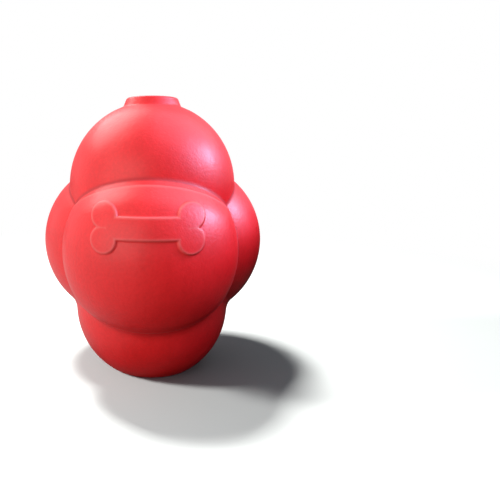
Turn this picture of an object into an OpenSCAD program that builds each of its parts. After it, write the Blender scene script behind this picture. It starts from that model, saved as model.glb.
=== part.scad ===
// Hollow rubber chew toy: five overlapping round lobes moulded in one piece.
// It stands on the lip of its wide mouth, and a small nozzle opens through the collar on top.

/* [Side lobes] */
// Radius of each of the three side lobes
side_r = 36; // [33:0.5:39]
// Distance of a side lobe's centre from the axis
side_out = 16; // [14:0.2:18]
// Height of the side lobes' centres above the lip
side_z = 56.6; // [54:0.2:60]

/* [Nozzle lobe] */
// Radius of the nozzle lobe, the top one
nozzle_lobe_r = 36.2; // [33:0.2:39]
// Height of its centre above the centres of the side lobes
nozzle_up = 25.4; // [22:0.2:29]

/* [Mouth lobe] */
// Radius of the mouth lobe, the bottom one
mouth_lobe_r = 34.4; // [32:0.2:37]

/* [Mouth] */
// Radius of the round mouth
mouth_r = 17.5; // [14:0.5:20]
// Width of the lip that the toy stands on
lip_w = 2.5; // [1.5:0.1:4]
// Height of the rim, which holds the straight part of the mouth
rim_h = 8; // [6:0.5:10]
// Radius of the neck where it opens into the treat chamber
throat_r = 21.5; // [20:0.5:23]
// Depth of that opening below the centre of the mouth lobe
throat_drop = 2; // [0:0.5:6]

/* [Treat chamber] */
// Thickness of the side lobes' walls, which the other lobes follow
wall = 9; // [6:0.5:11]

/* [Nozzle] */
// Radius of the collar
collar_r = 11; // [9.5:0.25:12.5]
// Height of the collar above the top of the nozzle lobe
collar_rise = 1.4; // [1.2:0.1:2.6]
// Rounding of the collar's top edge
collar_round = 1.2; // [0.8:0.1:1.2]
// Rounding where the collar grows out of the lobe
collar_foot_round = 1.6; // [1:0.1:2]
// Radius of the nozzle's bore
bore_r = 4.5; // [3:0.25:6]
// Rounding of the bore's top edge
bore_round = 0.8; // [0.4:0.1:1.2]

/* [Hidden] */
$fn = 96;
side_count = 3;
arc_steps = 6;
pole_turn = 45;
rubber = "#d8202a";

// Heights above the lip: the end lobes' centres, the throat and the top of the collar
mouth_z = sqrt(pow(mouth_lobe_r, 2) - pow(mouth_r + lip_w, 2));
throat_h = mouth_z - throat_drop;
nozzle_z = side_z + nozzle_up;
top_z = nozzle_z + nozzle_lobe_r + collar_rise;

// Centres of the lobes; side lobe 0 is the front one, and the others follow to the right
mouth_centre = [0, 0, mouth_z];
nozzle_centre = [0, 0, nozzle_z];
function side_angle(k) = -90 + k * 360 / side_count;
function side_centre(k) = [side_out * cos(side_angle(k)), side_out * sin(side_angle(k)), side_z];

// Half size of a block that is sure to reach past the whole toy
reach = 2 * top_z;

// Middle of the fillet at the collar's foot, and where it touches the lobe
foot_x = collar_r + collar_foot_round;
foot_z = nozzle_z + sqrt(pow(nozzle_lobe_r + collar_foot_round, 2) - pow(foot_x, 2));
foot_share = nozzle_lobe_r / (nozzle_lobe_r + collar_foot_round);
seat_r = foot_x * foot_share;

// Points of an arc round a middle, from one angle to another
function arc(middle, r, from, to) =
    [for (i = [0 : arc_steps]) let (a = from + (to - from) * i / arc_steps) middle + r * [cos(a), sin(a)]];

// Distance from a lobe's centre to its crease with a neighbour
function crease_at(span, own_r, other_r) = (span * span + own_r * own_r - other_r * other_r) / (2 * span);

// Everything on one lobe's side of its crease with a neighbour
module own_side(own, own_r, other, other_r) {
    way = other - own;
    span = norm(way);
    translate(own)
        rotate([0, acos(way.z / span), atan2(way.y, way.x)])
            translate([-reach, -reach, crease_at(span, own_r, other_r) - 2 * reach])
                cube([2 * reach, 2 * reach, 2 * reach]);
}

// What an end lobe keeps: its own side of the creases with all three side lobes
module clear_of_side_lobes(own, own_r) {
    intersection() {
        own_side(own, own_r, side_centre(0), side_r);
        own_side(own, own_r, side_centre(1), side_r);
        own_side(own, own_r, side_centre(2), side_r);
    }
}

// A ball round the centre of a side lobe; its poles lie level, clear of the lobe's corners
module side_ball(k, r) {
    translate(side_centre(k))
        rotate([-90, 0, side_angle(k) - pole_turn])
            sphere(r = r);
}

// The hollow in a lobe is a smaller ball, sized so that its creases lie in the same planes as the lobe's
function hollow_r(own_r) = sqrt(pow(own_r, 2) - pow(side_r, 2) + pow(side_r - wall, 2));

// Way in from the mouth: straight in the rim, widening up to the throat and open to the hollow above it
module neck() {
    neck_top = throat_h + rim_h;
    rotate_extrude()
        polygon([
            [0, -rim_h],
            [mouth_r, -rim_h],
            [mouth_r, rim_h],
            [throat_r, throat_h],
            [throat_r, neck_top],
            [0, neck_top]
        ]);
}

// Ring round the mouth, with the flat lip that the toy stands on
module mouth_rim() {
    color(rubber)
        intersection() {
            translate(mouth_centre)
                sphere(r = mouth_lobe_r);
            rotate_extrude()
                polygon([[mouth_r, 0], [mouth_lobe_r, 0], [mouth_lobe_r, rim_h], [mouth_r, rim_h]]);
        }
}

// Bottom lobe above the rim, thick round the neck
module mouth_lobe() {
    color(rubber)
        difference() {
            intersection() {
                translate(mouth_centre)
                    sphere(r = mouth_lobe_r);
                translate([-reach, -reach, rim_h])
                    cube([2 * reach, 2 * reach, 2 * reach]);
                clear_of_side_lobes(mouth_centre, mouth_lobe_r);
            }
            neck();
            intersection() {
                translate(mouth_centre)
                    sphere(r = hollow_r(mouth_lobe_r));
                translate([-reach, -reach, throat_h])
                    cube([2 * reach, 2 * reach, 2 * reach]);
            }
        }
}

// One of the three lobes round the middle
module side_lobe(k) {
    next = (k + 1) % side_count;
    last = (k + side_count - 1) % side_count;
    color(rubber)
        difference() {
            intersection() {
                side_ball(k, side_r);
                own_side(side_centre(k), side_r, side_centre(next), side_r);
                own_side(side_centre(k), side_r, side_centre(last), side_r);
                own_side(side_centre(k), side_r, nozzle_centre, nozzle_lobe_r);
                own_side(side_centre(k), side_r, mouth_centre, mouth_lobe_r);
            }
            side_ball(k, side_r - wall);
        }
}

module side_lobe_front() {
    side_lobe(0);
}

module side_lobe_right() {
    side_lobe(1);
}

module side_lobe_left() {
    side_lobe(2);
}

// Top lobe, open where the collar sits
module nozzle_lobe() {
    color(rubber)
        difference() {
            intersection() {
                translate(nozzle_centre)
                    sphere(r = nozzle_lobe_r);
                clear_of_side_lobes(nozzle_centre, nozzle_lobe_r);
            }
            translate(nozzle_centre)
                sphere(r = hollow_r(nozzle_lobe_r));
            translate(nozzle_centre)
                cylinder(r = seat_r, h = reach);
        }
}

// Collar with the nozzle's bore, from the chamber to the top
module nozzle_collar() {
    foot_angle = atan2(nozzle_z - foot_z, -foot_x);
    color(rubber)
        difference() {
            rotate_extrude()
                polygon(concat(
                    [[bore_r, nozzle_z]],
                    arc([bore_r + bore_round, top_z - bore_round], bore_round, 180, 90),
                    arc([collar_r - collar_round, top_z - collar_round], collar_round, 90, 0),
                    arc([foot_x, foot_z], collar_foot_round, 180, 360 + foot_angle),
                    [[seat_r, nozzle_z]]
                ));
            translate(nozzle_centre)
                sphere(r = hollow_r(nozzle_lobe_r));
        }
}

mouth_rim();
mouth_lobe();
side_lobe_front();
side_lobe_right();
side_lobe_left();
nozzle_lobe();
nozzle_collar();
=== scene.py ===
"""Hollow rubber chew toy, dressed round its frame: one seamless moulding of five round lobes."""
import math
from typing import NamedTuple

import bpy
import numpy as np
from mathutils import Matrix, Vector


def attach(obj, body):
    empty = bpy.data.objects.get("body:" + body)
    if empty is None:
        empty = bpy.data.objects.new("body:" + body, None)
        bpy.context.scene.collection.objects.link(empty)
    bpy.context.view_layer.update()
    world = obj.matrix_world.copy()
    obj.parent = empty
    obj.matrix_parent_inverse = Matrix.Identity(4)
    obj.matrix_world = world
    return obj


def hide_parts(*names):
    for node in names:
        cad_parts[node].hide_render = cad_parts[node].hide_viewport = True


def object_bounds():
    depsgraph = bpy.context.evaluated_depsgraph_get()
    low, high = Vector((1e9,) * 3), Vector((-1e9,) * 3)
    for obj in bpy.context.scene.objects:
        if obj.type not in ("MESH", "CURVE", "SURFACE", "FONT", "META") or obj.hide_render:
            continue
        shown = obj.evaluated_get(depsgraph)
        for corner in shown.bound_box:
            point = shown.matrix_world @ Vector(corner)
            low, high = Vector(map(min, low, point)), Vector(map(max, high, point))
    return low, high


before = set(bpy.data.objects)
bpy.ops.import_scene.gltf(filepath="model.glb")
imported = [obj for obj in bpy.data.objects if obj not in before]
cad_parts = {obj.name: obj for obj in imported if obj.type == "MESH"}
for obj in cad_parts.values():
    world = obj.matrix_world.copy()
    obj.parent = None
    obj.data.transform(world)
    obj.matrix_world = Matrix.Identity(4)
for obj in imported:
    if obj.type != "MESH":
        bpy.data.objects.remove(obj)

bl_info = {
    "name": "Hollow Chew Toy",
    "version": (1, 0, 0),
    "blender": (4, 5, 0),
    "location": "3D View > Sidebar > Chew Toy",
    "description": "Makes a hollow rubber chew toy of five round lobes and the stage that it stands on",
    "category": "Add Mesh",
}

MM = 0.001
FRAME_LO, FRAME_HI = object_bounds()
NODES = sorted(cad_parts)
SIDE_COUNT = 3
SIDE_SHARE = 2 * math.pi / SIDE_COUNT
FRONT_TURN = -math.pi / 2

# Columns of the skin, in degrees from the middle of the front lobe, and their spacing
FACE_EDGE = 28
CREASE_BEFORE = 8
CREASE_AFTER = 3
FACE_STEP = 0.32
BESIDE_STEP = 0.9
CREASE_STEP = 0.5
BACK_STEP = 1.5
BACK_CREASE_STEP = 0.6

# Rows of the skin over the top lobe, the side lobes and the bottom lobe; those of the side lobes are
# stretches of their height with a share for each row
TOP_ROWS = 60
SIDE_ROWS = ((0, 0.16, 0.005), (0.16, 0.5, 0.004), (0.5, 0.9, 0.008), (0.9, 1, 0.005))
BOTTOM_ROWS = 46
ROW_EASE = 0.35
CHAMBER_ROWS = (26, 40, 14)
CHAMBER_EASE = 0.3

# Search for the creases: how far from the poles it starts, in radians, and how often it halves its span
POLE_CLEAR = 0.3
CREASE_HALVINGS = 30

# Roundings at the collar, the mouth and the chamber, and where the lobes' rows end beside them; the foot
# of the collar is a share of its radius
CHAMBER_CREASE = 2.5 * MM
FOOT_SPREAD = 1.14
FOOT_EASE = 4.0 * MM
FOOT_ROUND = 1.3 * MM
COLLAR_ROUND = 1.2 * MM
BORE_ROUND = 0.8 * MM
BORE_LEAD = 2 * MM
LIP_ROUND = 1.4 * MM
LIP_START = 1.0 * MM
MOUTH_ROUND = 1.0 * MM
NECK_ROUND = 6 * MM
THROAT_ROUND = 1.8 * MM
SHELF_ROUND = 0.9 * MM
SHELF_RISE = 1.2 * MM
LIP_STEPS = 8
COLLAR_STEPS = 7

# How far the mark of a crease reaches, where the rubber gets painted shade and more roughness, how strong
# it is at the bottom lobe, and how soon the painted highlight beside a raised edge fades
CREASE_REACH = 1.3 * MM
LOWER_CREASE = 0.3
EDGE_SHEEN_FADE = 0.5

# Patterns in the rubber, and how much each does to its colour, roughness and height
CLOUDS = {"Scale": 32.0, "Detail": 3.0, "Roughness": 0.55, "Distortion": 0.6}
SPECKLE = {"Scale": 850.0, "Detail": 3.0, "Roughness": 0.6}
SKIN = {"Scale": 1900.0, "Detail": 2.0, "Roughness": 0.5}
FLOW = {"Scale": 160.0, "Detail": 4.0, "Roughness": 0.65}
FLOW_STRETCH = (1.0, 1.0, 0.25)
PATTERN_MIDDLE = 0.5
CLOUD_COLOUR = 0.4
SPECKLE_COLOUR = 0.35
FLOW_COLOUR = 0.25
MOTTLING_LOW = 0.34
MOTTLING_HIGH = 0.60
CLOUD_ROUGHNESS = 0.14
FLOW_ROUGHNESS = 0.1
EDGE_SHEEN_ROUGHNESS = 0.06
CREASE_ROUGHNESS = 0.15
SKIN_HEIGHT = 0.5
CLOUD_HEIGHT = 1.5
BUMP_STRENGTH = 0.22
BUMP_DISTANCE = 0.5 * MM
RUBBER_IOR = 1.5
COAT = 0.12
COAT_ROUGHNESS = 0.25

# Camera and stage; the floor's colour as it lights the toy turns from bright to dark between two places
# across, a painted shadow to the toy's right
PHOTO_SIDE_PX = 500
SENSOR_MM = 36
NEAREST_SEEN = 10 * MM
FLOOR_HALF = 4.0
BRIGHT_END = -100 * MM
PAINTED_SHADOW_START = 50 * MM
WHITE = (1.0, 1.0, 1.0, 1.0)


class ToyShape(bpy.types.PropertyGroup):
    """Sizes of the moulding"""

    side_radius: bpy.props.FloatProperty(
        name="Side lobe radius", description="Radius of each of the three side lobes",
        default=36 * MM, unit="LENGTH")
    side_out: bpy.props.FloatProperty(
        name="Side lobe offset", description="Distance of a side lobe's centre from the axis",
        default=16 * MM, unit="LENGTH")
    side_height: bpy.props.FloatProperty(
        name="Side lobe height", description="Height of the side lobes' centres above the lip",
        default=56.6 * MM, unit="LENGTH")
    nozzle_lobe_radius: bpy.props.FloatProperty(
        name="Nozzle lobe radius", description="Radius of the top lobe",
        default=36.2 * MM, unit="LENGTH")
    nozzle_up: bpy.props.FloatProperty(
        name="Nozzle lobe rise",
        description="Height of the top lobe's centre above the side lobes' centres",
        default=25.4 * MM, unit="LENGTH")
    mouth_lobe_radius: bpy.props.FloatProperty(
        name="Mouth lobe radius", description="Radius of the bottom lobe",
        default=34.4 * MM, unit="LENGTH")
    mouth_radius: bpy.props.FloatProperty(
        name="Mouth radius", description="Radius of the round mouth",
        default=17.5 * MM, unit="LENGTH")
    lip_width: bpy.props.FloatProperty(
        name="Lip width", description="Width of the lip that the toy stands on",
        default=2.5 * MM, unit="LENGTH")
    rim_height: bpy.props.FloatProperty(
        name="Rim height", description="Height of the straight part of the mouth",
        default=8 * MM, unit="LENGTH")
    throat_radius: bpy.props.FloatProperty(
        name="Throat radius", description="Radius of the neck where it opens into the treat chamber",
        default=21.5 * MM, unit="LENGTH")
    throat_drop: bpy.props.FloatProperty(
        name="Throat drop", description="Depth of the throat below the centre of the bottom lobe",
        default=2 * MM, unit="LENGTH")
    wall: bpy.props.FloatProperty(
        name="Wall", description="Thickness of the side lobes' walls",
        default=9 * MM, unit="LENGTH")
    collar_radius: bpy.props.FloatProperty(
        name="Collar radius", description="Radius of the collar at its top",
        default=11 * MM, unit="LENGTH")
    collar_rise: bpy.props.FloatProperty(
        name="Collar rise", description="Height of the collar above the top lobe",
        default=1.4 * MM, unit="LENGTH")
    bore_radius: bpy.props.FloatProperty(
        name="Bore radius", description="Radius of the nozzle's hole",
        default=4.5 * MM, unit="LENGTH")
    side_crease: bpy.props.FloatProperty(
        name="Side crease softness",
        description="Depth over which the creases between side lobes are rounded",
        default=0.8 * MM, unit="LENGTH")
    nozzle_crease: bpy.props.FloatProperty(
        name="Upper crease softness",
        description="Depth over which the crease under the top lobe is rounded",
        default=1.1 * MM, unit="LENGTH")
    mouth_crease: bpy.props.FloatProperty(
        name="Lower crease softness",
        description="Depth over which the crease over the bottom lobe is rounded",
        default=3.2 * MM, unit="LENGTH")


class FrontPanel(bpy.types.PropertyGroup):
    """The raised panel on the front lobe, and the plain bone on it"""

    rise: bpy.props.FloatProperty(
        name="Panel rise", description="How far the panel's edge stands out from the lobe",
        default=0.85 * MM, unit="LENGTH")
    swell: bpy.props.FloatProperty(
        name="Panel swell", description="How much further the panel's middle stands out than its edge",
        default=0.9 * MM, unit="LENGTH")
    swell_depth: bpy.props.FloatProperty(
        name="Swell depth", description="Depth over which the panel swells",
        default=9 * MM, unit="LENGTH")
    inset: bpy.props.FloatProperty(
        name="Panel inset",
        description="How far the lobe stands out from its neighbours where the panel starts",
        default=2.6 * MM, unit="LENGTH")
    shoulder: bpy.props.FloatProperty(
        name="Panel shoulder", description="Depth over which the panel's edge is rounded",
        default=1.0 * MM, unit="LENGTH")
    bone_rise: bpy.props.FloatProperty(
        name="Bone rise", description="How far the bone stands out from the panel",
        default=0.9 * MM, unit="LENGTH")
    bone_height: bpy.props.FloatProperty(
        name="Bone height above the side lobes' centres", description="Where the middle of the bone is",
        default=13.0 * MM, unit="LENGTH")
    bone_reach: bpy.props.FloatProperty(
        name="Bone reach", description="From the middle of the bone to the middle of a knob, across",
        default=15.0 * MM, unit="LENGTH")
    knob_spread: bpy.props.FloatProperty(
        name="Knob spread", description="From the middle of the bone to the middle of a knob, up or down",
        default=4.0 * MM, unit="LENGTH")
    knob_radius: bpy.props.FloatProperty(
        name="Knob radius", description="Radius of each of the bone's four knobs",
        default=5.0 * MM, unit="LENGTH")
    shank: bpy.props.FloatProperty(
        name="Shank", description="Half the height of the bone's straight part",
        default=4.2 * MM, unit="LENGTH")
    bone_edge: bpy.props.FloatProperty(
        name="Bone edge", description="Width of the bone's sloping edge",
        default=0.65 * MM, unit="LENGTH")


class RubberFinish(bpy.types.PropertyGroup):
    """Colour and surface of the rubber"""

    red: bpy.props.FloatVectorProperty(
        name="Rubber red", description="Main colour of the rubber",
        default=(0.92, 0.013, 0.015), size=3, subtype="COLOR")
    deep_red: bpy.props.FloatVectorProperty(
        name="Deep red", description="Darker colour of the mottling",
        default=(0.75, 0.008, 0.009), size=3, subtype="COLOR")
    roughness: bpy.props.FloatProperty(
        name="Roughness", description="Roughness of the moulded surface",
        default=0.45, subtype="FACTOR")
    # Painted highlight: a pale haze painted into the colour along the top of the panel's and the bone's
    # raised edges
    edge_sheen: bpy.props.FloatProperty(
        name="Bloom", description="How much of the pale haze shows on the raised edges",
        default=0.4, subtype="FACTOR")
    edge_sheen_colour: bpy.props.FloatVectorProperty(
        name="Bloom colour", description="Colour of the pale haze",
        default=(0.85, 0.20, 0.18), size=3, subtype="COLOR")
    # Painted shade: the colour is darkened in the creases, where shade falls
    crease_shade: bpy.props.FloatProperty(
        name="Grime", description="How much the creases are darkened",
        default=0.6, subtype="FACTOR")
    crease_shade_colour: bpy.props.FloatVectorProperty(
        name="Grime colour", description="Colour of the rubber deep in the creases",
        default=(0.32, 0.004, 0.006), size=3, subtype="COLOR")


class StageSettings(bpy.types.PropertyGroup):
    """Floor, black card, surround and camera"""

    floor_white: bpy.props.FloatVectorProperty(
        name="Floor white", description="Colour of the floor where the camera sees it",
        default=(0.34, 0.35, 0.34), size=3, subtype="COLOR")
    floor_bounce: bpy.props.FloatVectorProperty(
        name="Floor bounce", description="Colour of the floor as it lights the toy from the left",
        default=(0.13, 0.13, 0.13), size=3, subtype="COLOR")
    # Painted shadow: the floor is darker to the right as it lights the toy
    floor_painted_shadow: bpy.props.FloatVectorProperty(
        name="Dark floor", description="Colour of the floor as it lights the toy from the right",
        default=(0.015, 0.015, 0.015), size=3, subtype="COLOR")
    shadow_reach: bpy.props.FloatProperty(
        name="Shadow reach", description="How far from the toy the floor starts to fade into the surround",
        default=200 * MM, unit="LENGTH")
    card_low: bpy.props.FloatVectorProperty(
        name="Card's near lower corner", description="Corner of the black card, near the camera",
        default=(88 * MM, -42 * MM, 20 * MM), size=3, subtype="XYZ", unit="LENGTH")
    card_high: bpy.props.FloatVectorProperty(
        name="Card's far upper corner", description="Corner of the black card, away from the camera",
        default=(88 * MM, 60 * MM, 85 * MM), size=3, subtype="XYZ", unit="LENGTH")
    card_black: bpy.props.FloatVectorProperty(
        name="Card black", description="Colour of the black card",
        default=(0.01, 0.01, 0.01), size=3, subtype="COLOR")
    surround_strength: bpy.props.FloatProperty(
        name="Surround strength", description="How strongly the surround lights the toy",
        default=0.40)
    surround_colour: bpy.props.FloatVectorProperty(
        name="Surround colour", description="Colour of the light from the surround",
        default=(0.92, 1.0, 1.12), size=3, subtype="COLOR")

    focal_px: bpy.props.FloatProperty(
        name="Focal length in pixels", description="Focal length of the photograph's camera, in its pixels",
        default=480)
    centre_x_px: bpy.props.FloatProperty(
        name="Optical centre across", description="Pixel column of the photograph's optical axis",
        default=151.9)
    centre_y_px: bpy.props.FloatProperty(
        name="Optical centre down", description="Pixel row of the photograph's optical axis",
        default=241.7)
    distance: bpy.props.FloatProperty(
        name="Camera distance", description="From the lens to the toy's axis at the side lobes",
        default=218.85 * MM, unit="LENGTH")
    elevation: bpy.props.FloatProperty(
        name="Camera elevation", description="How far the camera looks down",
        default=math.radians(10.25), unit="ROTATION")
    azimuth: bpy.props.FloatProperty(
        name="Camera azimuth", description="How far the camera stands round the toy from its front",
        default=math.radians(-1.9), unit="ROTATION")
    roll: bpy.props.FloatProperty(
        name="Camera roll", description="How far the camera is turned about its view",
        default=math.radians(0.13), unit="ROTATION")


class Lamp(NamedTuple):
    """A soft box that lights one object; its turn right of the front and its height are in degrees"""

    name: str
    lights: str
    turn: float
    up: float
    distance: float
    width: float
    height: float
    power: float
    colour: tuple = (1.0, 1.0, 1.0)


LAMPS = (
    Lamp("left_high", "toy_body", -124, 52, 0.70, 0.60, 0.45, 3.5, (1.0, 1.12, 1.12)),
    Lamp("left_wall", "toy_body", -95, 6, 0.70, 0.90, 0.40, 0.75),
    Lamp("left_front", "toy_body", -38, 18, 0.70, 0.70, 0.55, 2.6, (1.0, 0.84, 0.78)),
    Lamp("right_side", "toy_body", 74, 36, 0.60, 0.24, 0.30, 0.8, (0.80, 1.10, 2.00)),
    Lamp("right_window", "toy_body", 95, 30, 0.60, 0.14, 0.16, 2.4, (0.95, 0.92, 1.45)),
    Lamp("right_back", "toy_body", 130, 42, 0.60, 0.30, 0.30, 0.27),
    Lamp("right_high", "toy_body", 95, 68, 0.70, 0.70, 0.50, 2.0, (1.0, 1.0, 1.30)),
    Lamp("floor_left", "floor", -80, 26, 0.70, 0.12, 0.12, 13),
    Lamp("floor_high", "floor", -124, 71, 0.70, 0.14, 0.14, 19),
)


class Socket:
    """A shader socket that can be used in sums and products"""

    def __init__(self, graph, socket):
        self.graph = graph
        self.socket = socket

    def _math(self, operation, *values):
        return self.graph.add("ShaderNodeMath", {"operation": operation}, dict(enumerate(values)))

    def __add__(self, other):
        return self._math("ADD", self, other)

    __radd__ = __add__

    def __sub__(self, other):
        return self._math("SUBTRACT", self, other)

    def __rsub__(self, other):
        return self._math("SUBTRACT", other, self)

    def __mul__(self, other):
        return self._math("MULTIPLY", self, other)

    __rmul__ = __mul__


class Graph:
    """The node tree of a material or of the world, built one node at a time"""

    def __init__(self, name="", tree=None):
        if tree is None:
            self.material = bpy.data.materials.new(name)
            self.material.use_nodes = True
            tree = self.material.node_tree
        self.tree = tree
        self.tree.nodes.clear()

    def add(self, kind, settings=None, values=None, out=0):
        """Add a node, with its settings and its inputs' values or links, and give one of its outputs"""
        node = self.tree.nodes.new(kind)
        for key, value in (settings or {}).items():
            setattr(node, key, value)
        for key, value in (values or {}).items():
            if isinstance(value, Socket):
                self.tree.links.new(value.socket, node.inputs[key])
            else:
                node.inputs[key].default_value = value
        return Socket(self, node.outputs[out]) if len(node.outputs) else None

    def blend(self, share, first, second):
        """A colour between two, each given as a socket or as red, green and blue"""
        first, second = (c if isinstance(c, Socket) else (*c, 1) for c in (first, second))
        return self.add("ShaderNodeMix", {"data_type": "RGBA"}, {0: share, 6: first, 7: second}, out=2)


def soft_max(a, b, reach):
    """The larger of two arrays, rounded over where they are less than reach apart"""
    near = np.maximum(reach - np.abs(a - b), 0) / reach
    return np.maximum(a, b) + near * near * reach / 4


def soft_step(values):
    """From 0 at 0 to 1 at 1, with a rounded start and end"""
    t = np.clip(values, 0, 1)
    return t * t * (3 - 2 * t)


def crease_mark(gap):
    """From 1 where two lobes are equally far out to 0 where they are well apart"""
    return 1 - soft_step(gap / CREASE_REACH)


def edge_sheen_mark(length, width):
    """1 at the top of a sloping edge of this width, where the painted highlight lies, and fading on both
    sides of it
    """
    return np.exp(-(length / width - 1) ** 2 / EDGE_SHEEN_FADE)


def ball_distance(direction, centre, radius):
    """How far a ray from the middle goes before it leaves a ball"""
    along = direction @ centre
    return along + np.sqrt(np.maximum(along * along - centre @ centre + radius * radius, 0))


def unit(vector):
    """A vector of length 1 in the same direction"""
    return vector / np.linalg.norm(vector)


def rounded_path(corners, steps):
    """Points along a path of corners (rho, z, radius), with each corner turned into an arc"""
    path = [np.array(corners[0][:2])]
    for before, corner, after in zip(corners, corners[1:], corners[2:]):
        here = np.array(corner[:2])
        radius = corner[2]
        back = unit(np.array(before[:2]) - here)
        on = unit(np.array(after[:2]) - here)
        half = math.acos(max(-1, min(1, float(back @ on)))) / 2
        middle = here + unit(back + on) * radius / math.sin(half)
        start = here + back * radius / math.tan(half)
        end = here + on * radius / math.tan(half)
        first_angle = math.atan2(*(start - middle)[::-1])
        turn = math.atan2(*(end - middle)[::-1]) - first_angle
        turn = (turn + math.pi) % (2 * math.pi) - math.pi
        for i in range(steps + 1):
            angle = first_angle + turn * i / steps
            path.append(middle + radius * np.array([math.cos(angle), math.sin(angle)]))
    path.append(np.array(corners[-1][:2]))
    return np.array(path)


def section_point(row):
    """Distance from the axis and height of a row's first point"""
    return math.hypot(*row[0, :2]), row[0, 2]


def spaced(stretches):
    """Values from a list of (from, to, step), each stretch evenly divided"""
    out = [stretches[0][0]]
    for start, end, step in stretches:
        count = max(1, round(abs(end - start) / step))
        out.extend(start + (end - start) * (i + 1) / count for i in range(count))
    return np.array(out)


def eased(count, ease):
    """Shares from 0 to 1 that lie closer together at both ends"""
    u = np.linspace(0, 1, count + 1)
    return u - ease * np.sin(2 * math.pi * u) / (2 * math.pi)


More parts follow.
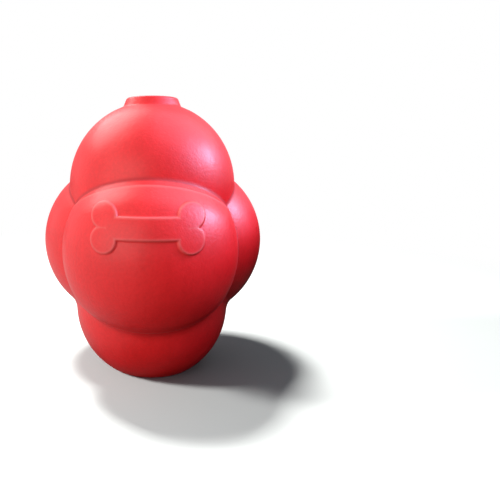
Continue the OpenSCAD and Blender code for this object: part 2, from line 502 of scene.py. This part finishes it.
class Moulding:
    """The moulding's surface as a grid: columns round the axis, rows along the section"""

    def __init__(self, shape, panel):
        self.shape = shape
        self.panel = panel
        s = shape
        lip_outer = s.mouth_radius + s.lip_width
        self.mouth_z = math.sqrt(s.mouth_lobe_radius ** 2 - lip_outer ** 2)
        self.throat_z = self.mouth_z - s.throat_drop
        self.side_z = s.side_height
        self.nozzle_z = self.side_z + s.nozzle_up
        self.top_z = self.nozzle_z + s.nozzle_lobe_radius + s.collar_rise
        self.hollow = s.side_radius ** 2 - (s.side_radius - s.wall) ** 2
        self.columns = self.column_angles()

    def hollow_radius(self, radius):
        """Radius of the ball inside a lobe, whose creases lie in the same planes as the lobe's"""
        return math.sqrt(radius * radius - self.hollow)

    def column_angles(self):
        """Angles from the front lobe's middle, finer over the front face and at the creases"""
        crease = math.degrees(SIDE_SHARE) / 2
        back = SIDE_COUNT * crease
        stretches = (
            (0, FACE_EDGE, FACE_STEP),
            (FACE_EDGE, crease - CREASE_BEFORE, BESIDE_STEP),
            (crease - CREASE_BEFORE, crease + CREASE_AFTER, CREASE_STEP),
            (crease + CREASE_AFTER, back - CREASE_AFTER, BACK_STEP),
            (back - CREASE_AFTER, back, BACK_CREASE_STEP))
        half = spaced([tuple(math.radians(angle) for angle in stretch) for stretch in stretches])
        return np.concatenate([-half[::-1][:-1], half])[1:]

    def directions(self, polar):
        """Unit vectors from the middle of the toy, one for each row and column"""
        around = self.columns[None, :]
        return np.stack([np.sin(polar) * np.cos(around), np.sin(polar) * np.sin(around),
                         np.cos(polar) * np.ones_like(around)], -1)

    def ball_distances(self, direction, hollow):
        """How far each ray goes in the top ball, the three side balls and the bottom ball"""
        s = self.shape

        def distance(x, y, z, radius):
            size = self.hollow_radius(radius) if hollow else radius
            return ball_distance(direction, np.array([x, y, z]), size)

        turns = [k * SIDE_SHARE for k in range(SIDE_COUNT)]
        sides = [distance(s.side_out * math.cos(turn), s.side_out * math.sin(turn), 0, s.side_radius)
                 for turn in turns]
        nozzle = distance(0, 0, s.nozzle_up, s.nozzle_lobe_radius)
        mouth = distance(0, 0, self.mouth_z - self.side_z, s.mouth_lobe_radius)
        return nozzle, sides, mouth

    def crease_polar(self, end, hollow):
        """Polar angle, for each column, at which an end lobe meets the side lobes"""
        low = np.full((1, len(self.columns)), POLE_CLEAR)
        high = np.full_like(low, math.pi - POLE_CLEAR)
        for _ in range(CREASE_HALVINGS):
            mid = (low + high) / 2
            nozzle, sides, mouth = self.ball_distances(self.directions(mid), hollow)
            side = np.max(sides, axis=0)
            below = nozzle > side if end == "nozzle" else mouth <= side
            low = np.where(below, mid, low)
            high = np.where(below, high, mid)
        return (low + high)[0] / 2

    def lobes(self, start_polar, end_polar, shares, creases, hollow):
        """Rows over the lobes from the nozzle end down, with their masks for the painted highlight on
        raised edges and for the creases
        """
        breaks = [np.full(len(self.columns), start_polar), self.crease_polar("nozzle", hollow),
                  self.crease_polar("mouth", hollow), np.full(len(self.columns), end_polar)]
        stretches = [first + (last - first) * share[:, None]
                     for first, last, share in zip(breaks, breaks[1:], shares)]
        polar = np.concatenate([stretches[0], *(stretch[1:] for stretch in stretches[1:])])
        direction = self.directions(polar)
        nozzle, sides, mouth = self.ball_distances(direction, hollow)
        edge_sheen_mask = np.zeros_like(polar)
        crease = np.zeros_like(polar)
        if not hollow:
            others = np.max([nozzle, *sides[1:], mouth], axis=0)
            relief, edge_sheen_mask = self.relief(direction, sides[0], others)
            sides[0] = sides[0] + relief
            crease = self.crease_depth(nozzle, sides, mouth)
        side = soft_max(soft_max(sides[0], sides[1], creases[1]), sides[2], creases[1])
        reach = soft_max(soft_max(nozzle, side, creases[0]), mouth, creases[2])
        points = direction * reach[..., None]
        points[..., 2] += self.side_z
        return points, edge_sheen_mask, crease

    def crease_depth(self, nozzle, sides, mouth):
        """From 0 on a lobe to 1 in the middle of a crease"""
        second, side = np.sort(sides, axis=0)[1:]
        most = np.max([nozzle, side, mouth], axis=0)
        upper = crease_mark(most - np.minimum(nozzle, side))
        between = crease_mark(most - second)
        lower = LOWER_CREASE * crease_mark(most - np.minimum(mouth, side))
        return np.max([upper, between, lower], axis=0)

    def relief(self, direction, front, others):
        """How far the panel and the bone stand out from the front lobe, and where their edges get the
        painted highlight
        """
        p = self.panel
        depth = front - others - p.inset
        panel = p.rise * soft_step(depth / p.shoulder) + p.swell * soft_step(depth / p.swell_depth)
        across = np.abs(direction[..., 1] * front)
        up = np.abs(direction[..., 2] * front - p.bone_height)
        knobs = np.hypot(across - p.bone_reach, up - p.knob_spread) - p.knob_radius
        shank = np.maximum(across - p.bone_reach, up - p.shank)
        inside = np.where(direction[..., 0] > 0, -np.minimum(knobs, shank), -np.inf)
        edge_sheen_mask = np.maximum(edge_sheen_mark(depth, p.shoulder), edge_sheen_mark(inside, p.bone_edge))
        return panel + p.bone_rise * soft_step(inside / p.bone_edge), edge_sheen_mask

    def ring_rows(self, path):
        """Rows of a section that is the same all round"""
        rho, z = path[:, 0:1], path[:, 1:2]
        around = self.columns[None, :]
        return np.stack([rho * np.cos(around), rho * np.sin(around), z * np.ones_like(around)], -1)

    def polar_of(self, rho, z):
        """Polar angle, from the middle of the toy, of a point that far from the axis and that high"""
        return math.atan2(rho, z - self.side_z)

    def nozzle_height(self, radius, rho):
        """Height, at a distance from the axis, of a ball round the centre of the top lobe"""
        return self.nozzle_z + math.sqrt(radius * radius - rho * rho)

    def outer_lobes(self, foot):
        """The outside, from just below the collar's foot to just above the lip"""
        s = self.shape
        start = foot + FOOT_EASE
        return self.lobes(
            self.polar_of(start, self.nozzle_height(s.nozzle_lobe_radius, start)),
            self.polar_of(s.mouth_radius + s.lip_width + LIP_ROUND, LIP_START),
            (eased(TOP_ROWS, ROW_EASE), spaced(SIDE_ROWS), eased(BOTTOM_ROWS, ROW_EASE)),
            (s.nozzle_crease, s.side_crease, s.mouth_crease), False)

    def chamber(self):
        """The inside, from beside the bore to just above the throat's ledge"""
        s = self.shape
        start = s.bore_radius + BORE_LEAD
        end_z = self.throat_z + SHELF_RISE
        mouth_hollow = self.hollow_radius(s.mouth_lobe_radius)
        end_rho = math.sqrt(mouth_hollow ** 2 - (self.mouth_z - end_z) ** 2)
        points, *_ = self.lobes(
            self.polar_of(start, self.nozzle_height(self.hollow_radius(s.nozzle_lobe_radius), start)),
            self.polar_of(end_rho, end_z),
            [eased(rows, CHAMBER_EASE) for rows in CHAMBER_ROWS],
            (CHAMBER_CREASE, CHAMBER_CREASE, CHAMBER_CREASE), True)
        return points

    def grid(self):
        """All rows, once round the section: lobes, mouth, chamber and nozzle"""
        s = self.shape
        foot = s.collar_radius * FOOT_SPREAD
        outer, edge_sheen_mask, crease = self.outer_lobes(foot)
        inner = self.chamber()
        ledge_rho = math.sqrt(self.hollow_radius(s.mouth_lobe_radius) ** 2 - s.throat_drop ** 2)
        bore_foot = self.nozzle_height(self.hollow_radius(s.nozzle_lobe_radius), s.bore_radius)
        lip = rounded_path([
            section_point(outer[-1]),
            (s.mouth_radius + s.lip_width, 0, LIP_ROUND),
            (s.mouth_radius, 0, MOUTH_ROUND),
            (s.mouth_radius, s.rim_height, NECK_ROUND),
            (s.throat_radius, self.throat_z, THROAT_ROUND),
            (ledge_rho, self.throat_z, SHELF_ROUND),
            section_point(inner[-1])], LIP_STEPS)
        collar = rounded_path([
            section_point(inner[0]),
            (s.bore_radius, bore_foot, BORE_ROUND),
            (s.bore_radius, self.top_z, BORE_ROUND),
            (s.collar_radius, self.top_z, COLLAR_ROUND),
            (foot, self.nozzle_height(s.nozzle_lobe_radius, foot), FOOT_ROUND),
            section_point(outer[0])], COLLAR_STEPS)
        grid = np.concatenate([outer, self.ring_rows(lip[1:-1]), inner[::-1], self.ring_rows(collar[1:-1])])
        plain = np.zeros((len(grid) - len(outer), len(self.columns)))
        marks = {"edge_sheen_mask": np.concatenate([edge_sheen_mask, plain]), "crease": np.concatenate([crease, plain])}
        return grid, marks

    def mesh(self, name):
        """The closed skin as a mesh of four-sided faces, with its marks as attributes"""
        grid, marks = self.grid()
        rows, columns = grid.shape[:2]
        turn = np.array([[math.cos(FRONT_TURN), math.sin(FRONT_TURN), 0],
                         [-math.sin(FRONT_TURN), math.cos(FRONT_TURN), 0], [0, 0, 1]])
        points = grid.reshape(-1, 3) @ turn
        index = np.arange(rows * columns).reshape(rows, columns)
        down, right = np.roll(index, -1, 0), np.roll(index, -1, 1)
        corner = np.roll(down, -1, 1)
        faces = np.stack([index, down, corner, right], -1).reshape(-1, 4)
        mesh = bpy.data.meshes.new(name)
        mesh.vertices.add(len(points))
        mesh.vertices.foreach_set("co", points.ravel())
        mesh.loops.add(faces.size)
        mesh.loops.foreach_set("vertex_index", faces.ravel())
        mesh.polygons.add(len(faces))
        mesh.polygons.foreach_set("loop_start", np.arange(0, faces.size, 4))
        mesh.polygons.foreach_set("loop_total", np.full(len(faces), 4))
        mesh.polygons.foreach_set("use_smooth", np.ones(len(faces), bool))
        mesh.update(calc_edges=True)
        mesh.validate()
        for mark, values in marks.items():
            mesh.attributes.new(mark, "FLOAT", "POINT").data.foreach_set("value", values.ravel())
        return mesh


def rubber_material(finish):
    """Satin red rubber: cloudy colour, a pale highlight painted on the raised edges, painted shade in the
    creases and a fine skin
    """
    g = Graph("red_rubber")
    place = g.add("ShaderNodeTexCoord", out="Object")
    stretched = g.add("ShaderNodeMapping", {}, {"Vector": place, "Scale": FLOW_STRETCH})
    clouds = g.add("ShaderNodeTexNoise", {}, {"Vector": place, **CLOUDS})
    speckle = g.add("ShaderNodeTexNoise", {}, {"Vector": place, **SPECKLE})
    skin = g.add("ShaderNodeTexNoise", {}, {"Vector": place, **SKIN})
    flow = g.add("ShaderNodeTexNoise", {}, {"Vector": stretched, **FLOW})
    mottling = g.add("ShaderNodeMapRange", {}, {
        "Value": clouds * CLOUD_COLOUR + speckle * SPECKLE_COLOUR + flow * FLOW_COLOUR,
        "From Min": MOTTLING_LOW, "From Max": MOTTLING_HIGH})
    edge_sheen_mask = g.add("ShaderNodeAttribute", {"attribute_name": "edge_sheen_mask"}, out="Fac")
    crease = g.add("ShaderNodeAttribute", {"attribute_name": "crease"}, out="Fac")
    body = g.blend(mottling, finish.deep_red, finish.red)
    # Painted highlight: pale colour painted along the raised edges
    sheened_body = g.blend(edge_sheen_mask * finish.edge_sheen, body, finish.edge_sheen_colour)
    # Painted shade in the creases
    colour = g.blend(crease * finish.crease_shade, sheened_body, finish.crease_shade_colour)
    rough = (finish.roughness + (clouds - PATTERN_MIDDLE) * CLOUD_ROUGHNESS
             + (flow - PATTERN_MIDDLE) * FLOW_ROUGHNESS
             + edge_sheen_mask * EDGE_SHEEN_ROUGHNESS + crease * CREASE_ROUGHNESS)
    bump = g.add("ShaderNodeBump", {}, {
        "Height": skin * SKIN_HEIGHT + speckle + clouds * CLOUD_HEIGHT,
        "Strength": BUMP_STRENGTH, "Distance": BUMP_DISTANCE})
    shader = g.add("ShaderNodeBsdfPrincipled", {}, {
        "Base Color": colour, "Roughness": rough, "Normal": bump, "IOR": RUBBER_IOR,
        "Coat Weight": COAT, "Coat Roughness": COAT_ROUGHNESS})
    g.add("ShaderNodeOutputMaterial", {}, {"Surface": shader})
    return g.material


class TOY_OT_body(bpy.types.Operator):
    """Make the whole moulding as one seamless hollow skin"""

    bl_idname = "chew_toy.body"
    bl_label = "Make the moulding"

    def execute(self, context):
        mesh = Moulding(context.scene.toy_shape, context.scene.front_panel).mesh("toy_body")
        body = bpy.data.objects.new("toy_body", mesh)
        context.scene.collection.objects.link(body)
        mesh.materials.append(rubber_material(context.scene.rubber_finish))
        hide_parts(*NODES)
        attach(body, "root")
        return {"FINISHED"}


class TOY_OT_stage(bpy.types.Operator):
    """Set up the floor, the lamps and the camera"""

    bl_idname = "chew_toy.stage"
    bl_label = "Set up the stage"

    def execute(self, context):
        self.floor(context)
        self.card(context)
        self.surround(context)
        self.lamps(context)
        self.camera(context)
        return {"FINISHED"}

    def floor(self, context):
        """A floor that the camera sees as white, with the toy's shadow, fading into the white surround"""
        stage = context.scene.stage_settings
        g = Graph("white_floor")
        place = g.add("ShaderNodeTexCoord", out="Object")
        away = g.add("ShaderNodeVectorMath", {"operation": "LENGTH"}, {0: place}, out="Value")
        fade = g.add("ShaderNodeMapRange", {"interpolation_type": "SMOOTHSTEP"}, {
            "Value": away, "From Min": stage.shadow_reach, "From Max": 2 * stage.shadow_reach})
        seen = g.add("ShaderNodeMixShader", {}, {
            0: fade,
            1: g.add("ShaderNodeBsdfDiffuse", {}, {"Color": (*stage.floor_white, 1)}),
            2: g.add("ShaderNodeEmission", {}, {"Color": WHITE, "Strength": 1.0})})
        # Painted shadow: as it lights the toy, the floor's colour turns dark to the right
        across = g.add("ShaderNodeMapRange", {"interpolation_type": "SMOOTHSTEP"}, {
            "Value": g.add("ShaderNodeSeparateXYZ", {}, {"Vector": place}),
            "From Min": BRIGHT_END, "From Max": PAINTED_SHADOW_START})
        unseen = g.add("ShaderNodeBsdfDiffuse", {}, {
            "Color": g.blend(across, stage.floor_bounce, stage.floor_painted_shadow)})
        g.add("ShaderNodeOutputMaterial", {}, {"Surface": g.add("ShaderNodeMixShader", {}, {
            0: g.add("ShaderNodeLightPath", out="Is Camera Ray"), 1: unseen, 2: seen})})
        half = FLOOR_HALF
        mesh = bpy.data.meshes.new("floor")
        corners = [(-half, -half, 0), (half, -half, 0), (half, half, 0), (-half, half, 0)]
        mesh.from_pydata(corners, [], [(0, 1, 2, 3)])
        mesh.materials.append(g.material)
        floor = bpy.data.objects.new("floor", mesh)
        context.scene.collection.objects.link(floor)

    def card(self, context):
        """A black card, out of the camera's sight, that keeps the light at the right off the lower lobes"""
        stage = context.scene.stage_settings
        g = Graph("black_card")
        g.add("ShaderNodeOutputMaterial", {}, {"Surface": g.add("ShaderNodeBsdfDiffuse", {}, {
            "Color": (*stage.card_black, 1)})})
        (x0, y0, z0), (x1, y1, z1) = stage.card_low, stage.card_high
        mesh = bpy.data.meshes.new("card")
        corners = [(x0, y0, z0), (x1, y1, z0), (x1, y1, z1), (x0, y0, z1)]
        mesh.from_pydata(corners, [], [(0, 1, 2, 3)])
        mesh.materials.append(g.material)
        card = bpy.data.objects.new("card", mesh)
        card.visible_camera = False
        context.scene.collection.objects.link(card)

    def surround(self, context):
        """A world that the camera sees as white, and that lights the toy softly"""
        world = bpy.data.worlds.new("studio")
        world.use_nodes = True
        g = Graph(tree=world.node_tree)
        stage = context.scene.stage_settings
        soft = g.add("ShaderNodeBackground", {}, {
            "Color": (*stage.surround_colour, 1), "Strength": stage.surround_strength})
        white = g.add("ShaderNodeBackground", {}, {"Color": WHITE, "Strength": 1.0})
        g.add("ShaderNodeOutputWorld", {}, {"Surface": g.add("ShaderNodeMixShader", {}, {
            0: g.add("ShaderNodeLightPath", out="Is Camera Ray"), 1: soft, 2: white})})
        context.scene.world = world

    def lamps(self, context):
        """Soft boxes that light the toy, and two that light only the floor, where the toy shades it"""
        middle = Vector((0, 0, (FRAME_LO[2] + FRAME_HI[2]) / 2))
        lit = {}
        for name in ("toy_body", "floor"):
            lit[name] = bpy.data.collections.new("lit_" + name)
            lit[name].objects.link(bpy.data.objects[name])
        for lamp in LAMPS:
            data = bpy.data.lights.new(lamp.name, "AREA")
            data.shape = "RECTANGLE"
            data.size = lamp.width
            data.size_y = lamp.height
            data.energy = lamp.power
            data.color = lamp.colour
            turn = math.radians(lamp.turn)
            up = math.radians(lamp.up)
            away = Vector((math.sin(turn) * math.cos(up), -math.cos(turn) * math.cos(up), math.sin(up)))
            light = bpy.data.objects.new(lamp.name, data)
            light.location = middle + away * lamp.distance
            light.rotation_euler = (-away).to_track_quat("-Z", "Y").to_euler()
            context.scene.collection.objects.link(light)
            light.light_linking.receiver_collection = lit[lamp.lights]
            if lamp.lights == "floor":
                light.light_linking.blocker_collection = lit["toy_body"]

    def camera(self, context):
        """The photograph's view: its focal length, optical centre, distance and angles"""
        stage = context.scene.stage_settings
        data = bpy.data.cameras.new("camera")
        data.sensor_width = SENSOR_MM
        data.lens = stage.focal_px / PHOTO_SIDE_PX * SENSOR_MM
        data.shift_x = (PHOTO_SIDE_PX / 2 - stage.centre_x_px) / PHOTO_SIDE_PX
        data.shift_y = (stage.centre_y_px - PHOTO_SIDE_PX / 2) / PHOTO_SIDE_PX
        data.clip_start = NEAREST_SEEN
        camera = bpy.data.objects.new("camera", data)
        away = Vector((-math.sin(stage.azimuth) * math.cos(stage.elevation),
                       -math.cos(stage.azimuth) * math.cos(stage.elevation), math.sin(stage.elevation)))
        look = (-away).to_track_quat("-Z", "Y")
        camera.location = Vector((0, 0, context.scene.toy_shape.side_height)) + away * stage.distance
        camera.rotation_euler = (look.to_matrix().to_4x4() @ Matrix.Rotation(stage.roll, 4, "Z")).to_euler()
        context.scene.collection.objects.link(camera)
        context.scene.camera = camera
        context.scene.view_settings.view_transform = "Standard"


class TOY_PT_panel(bpy.types.Panel):
    """Sizes, finish and the operators"""

    bl_label = "Chew Toy"
    bl_idname = "TOY_PT_panel"
    bl_space_type = "VIEW_3D"
    bl_region_type = "UI"
    bl_category = "Chew Toy"

    def draw(self, context):
        for group in GROUPS:
            settings = getattr(context.scene, group)
            for key in settings.__annotations__:
                self.layout.prop(settings, key)
        for operator in OPERATORS:
            self.layout.operator(operator.bl_idname)


GROUPS = {
    "toy_shape": ToyShape, "front_panel": FrontPanel,
    "rubber_finish": RubberFinish, "stage_settings": StageSettings}
OPERATORS = (TOY_OT_body, TOY_OT_stage)
CLASSES = (*GROUPS.values(), *OPERATORS, TOY_PT_panel)


def register():
    for cls in CLASSES:
        bpy.utils.register_class(cls)
    for name, cls in GROUPS.items():
        setattr(bpy.types.Scene, name, bpy.props.PointerProperty(type=cls))


def unregister():
    for name in GROUPS:
        delattr(bpy.types.Scene, name)
    for cls in reversed(CLASSES):
        bpy.utils.unregister_class(cls)


def main():
    register()
    bpy.ops.chew_toy.body()
    bpy.ops.chew_toy.stage()


if __name__ == "__main__":
    main()
